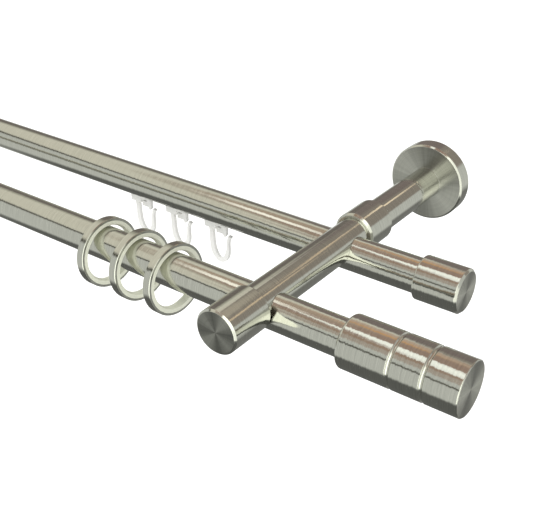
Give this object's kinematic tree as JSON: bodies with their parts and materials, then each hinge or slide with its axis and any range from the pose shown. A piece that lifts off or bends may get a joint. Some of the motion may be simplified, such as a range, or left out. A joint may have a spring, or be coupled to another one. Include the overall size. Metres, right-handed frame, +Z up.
{
  "type": "curtain rod",
  "caption": "Two-run round curtain rod: a front tube with hanging rings and a slotted rear track with gliders and pleat hooks, on wall brackets with round rosettes.",
  "frame": {"origin": "centre of the right bracket's seat on the wall", "axes": "+X along the rods to the right-hand end, +Y into the wall, +Z up"},
  "size_m": [1.2764, 0.2203, 0.0674],
  "materials": {
    "brushed_nickel": "fine turned brushed nickel look",
    "track_aluminium": "drawn profile, brushed nickel look",
    "plate_steel": "zinc plated",
    "screw_steel": "plain steel",
    "liner_plastic": "smooth cream plastic",
    "white_plastic": "smooth white plastic"
  },
  "bodies": {
    "rod_and_brackets": {"arm_left": "brushed_nickel", "arm_right": "brushed_nickel", "end_cap_left": "brushed_nickel", "end_cap_right": "brushed_nickel", "finial_left": "brushed_nickel", "finial_right": "brushed_nickel", "finial_screw_left": "screw_steel", "finial_screw_right": "screw_steel", "front_rod": "brushed_nickel", "head_left": "brushed_nickel", "head_right": "brushed_nickel", "rear_track": "track_aluminium", "rod_screw_front_left": "screw_steel", "rod_screw_front_right": "screw_steel", "rod_screw_rear_left": "screw_steel", "rod_screw_rear_right": "screw_steel", "rosette_left": "brushed_nickel", "rosette_right": "brushed_nickel", "rosette_screw_left": "screw_steel", "rosette_screw_right": "screw_steel", "sleeve_left": "brushed_nickel", "sleeve_right": "brushed_nickel", "sleeve_screw_front_left": "screw_steel", "sleeve_screw_front_right": "screw_steel", "sleeve_screw_rear_left": "screw_steel", "sleeve_screw_rear_right": "screw_steel", "stem_left": "brushed_nickel", "stem_right": "brushed_nickel", "stem_screw_left": "screw_steel", "stem_screw_right": "screw_steel", "track_stop_left": "white_plastic", "track_stop_right": "white_plastic", "wall_plate_left": "plate_steel", "wall_plate_right": "plate_steel"},
    "ring_1": {"ring_band_1": "brushed_nickel", "ring_liner_1": "liner_plastic"},
    "ring_2": {"ring_band_2": "brushed_nickel", "ring_liner_2": "liner_plastic"},
    "ring_3": {"ring_band_3": "brushed_nickel", "ring_liner_3": "liner_plastic"},
    "glider_1": {"glider_1": "white_plastic", "hook_1": "white_plastic"},
    "glider_2": {"glider_2": "white_plastic", "hook_2": "white_plastic"},
    "glider_3": {"glider_3": "white_plastic", "hook_3": "white_plastic"}
  },
  "joints": [
    {"name": "ring_1_slide", "type": "slide", "parent": "rod_and_brackets", "child": "ring_1", "axis": [1, 0, 0], "range_m": [-0.915, 0.008]},
    {"name": "ring_2_slide", "type": "slide", "parent": "rod_and_brackets", "child": "ring_2", "axis": [1, 0, 0], "range_m": [-0.008, 0.008]},
    {"name": "ring_3_slide", "type": "slide", "parent": "rod_and_brackets", "child": "ring_3", "axis": [1, 0, 0], "range_m": [-0.008, 0.04]},
    {"name": "glider_1_slide", "type": "slide", "parent": "rod_and_brackets", "child": "glider_1", "axis": [1, 0, 0], "range_m": [-0.85, 0.0045]},
    {"name": "glider_2_slide", "type": "slide", "parent": "rod_and_brackets", "child": "glider_2", "axis": [1, 0, 0], "range_m": [-0.0045, 0.0045]},
    {"name": "glider_3_slide", "type": "slide", "parent": "rod_and_brackets", "child": "glider_3", "axis": [1, 0, 0], "range_m": [-0.0045, 0.058]}
  ]
}
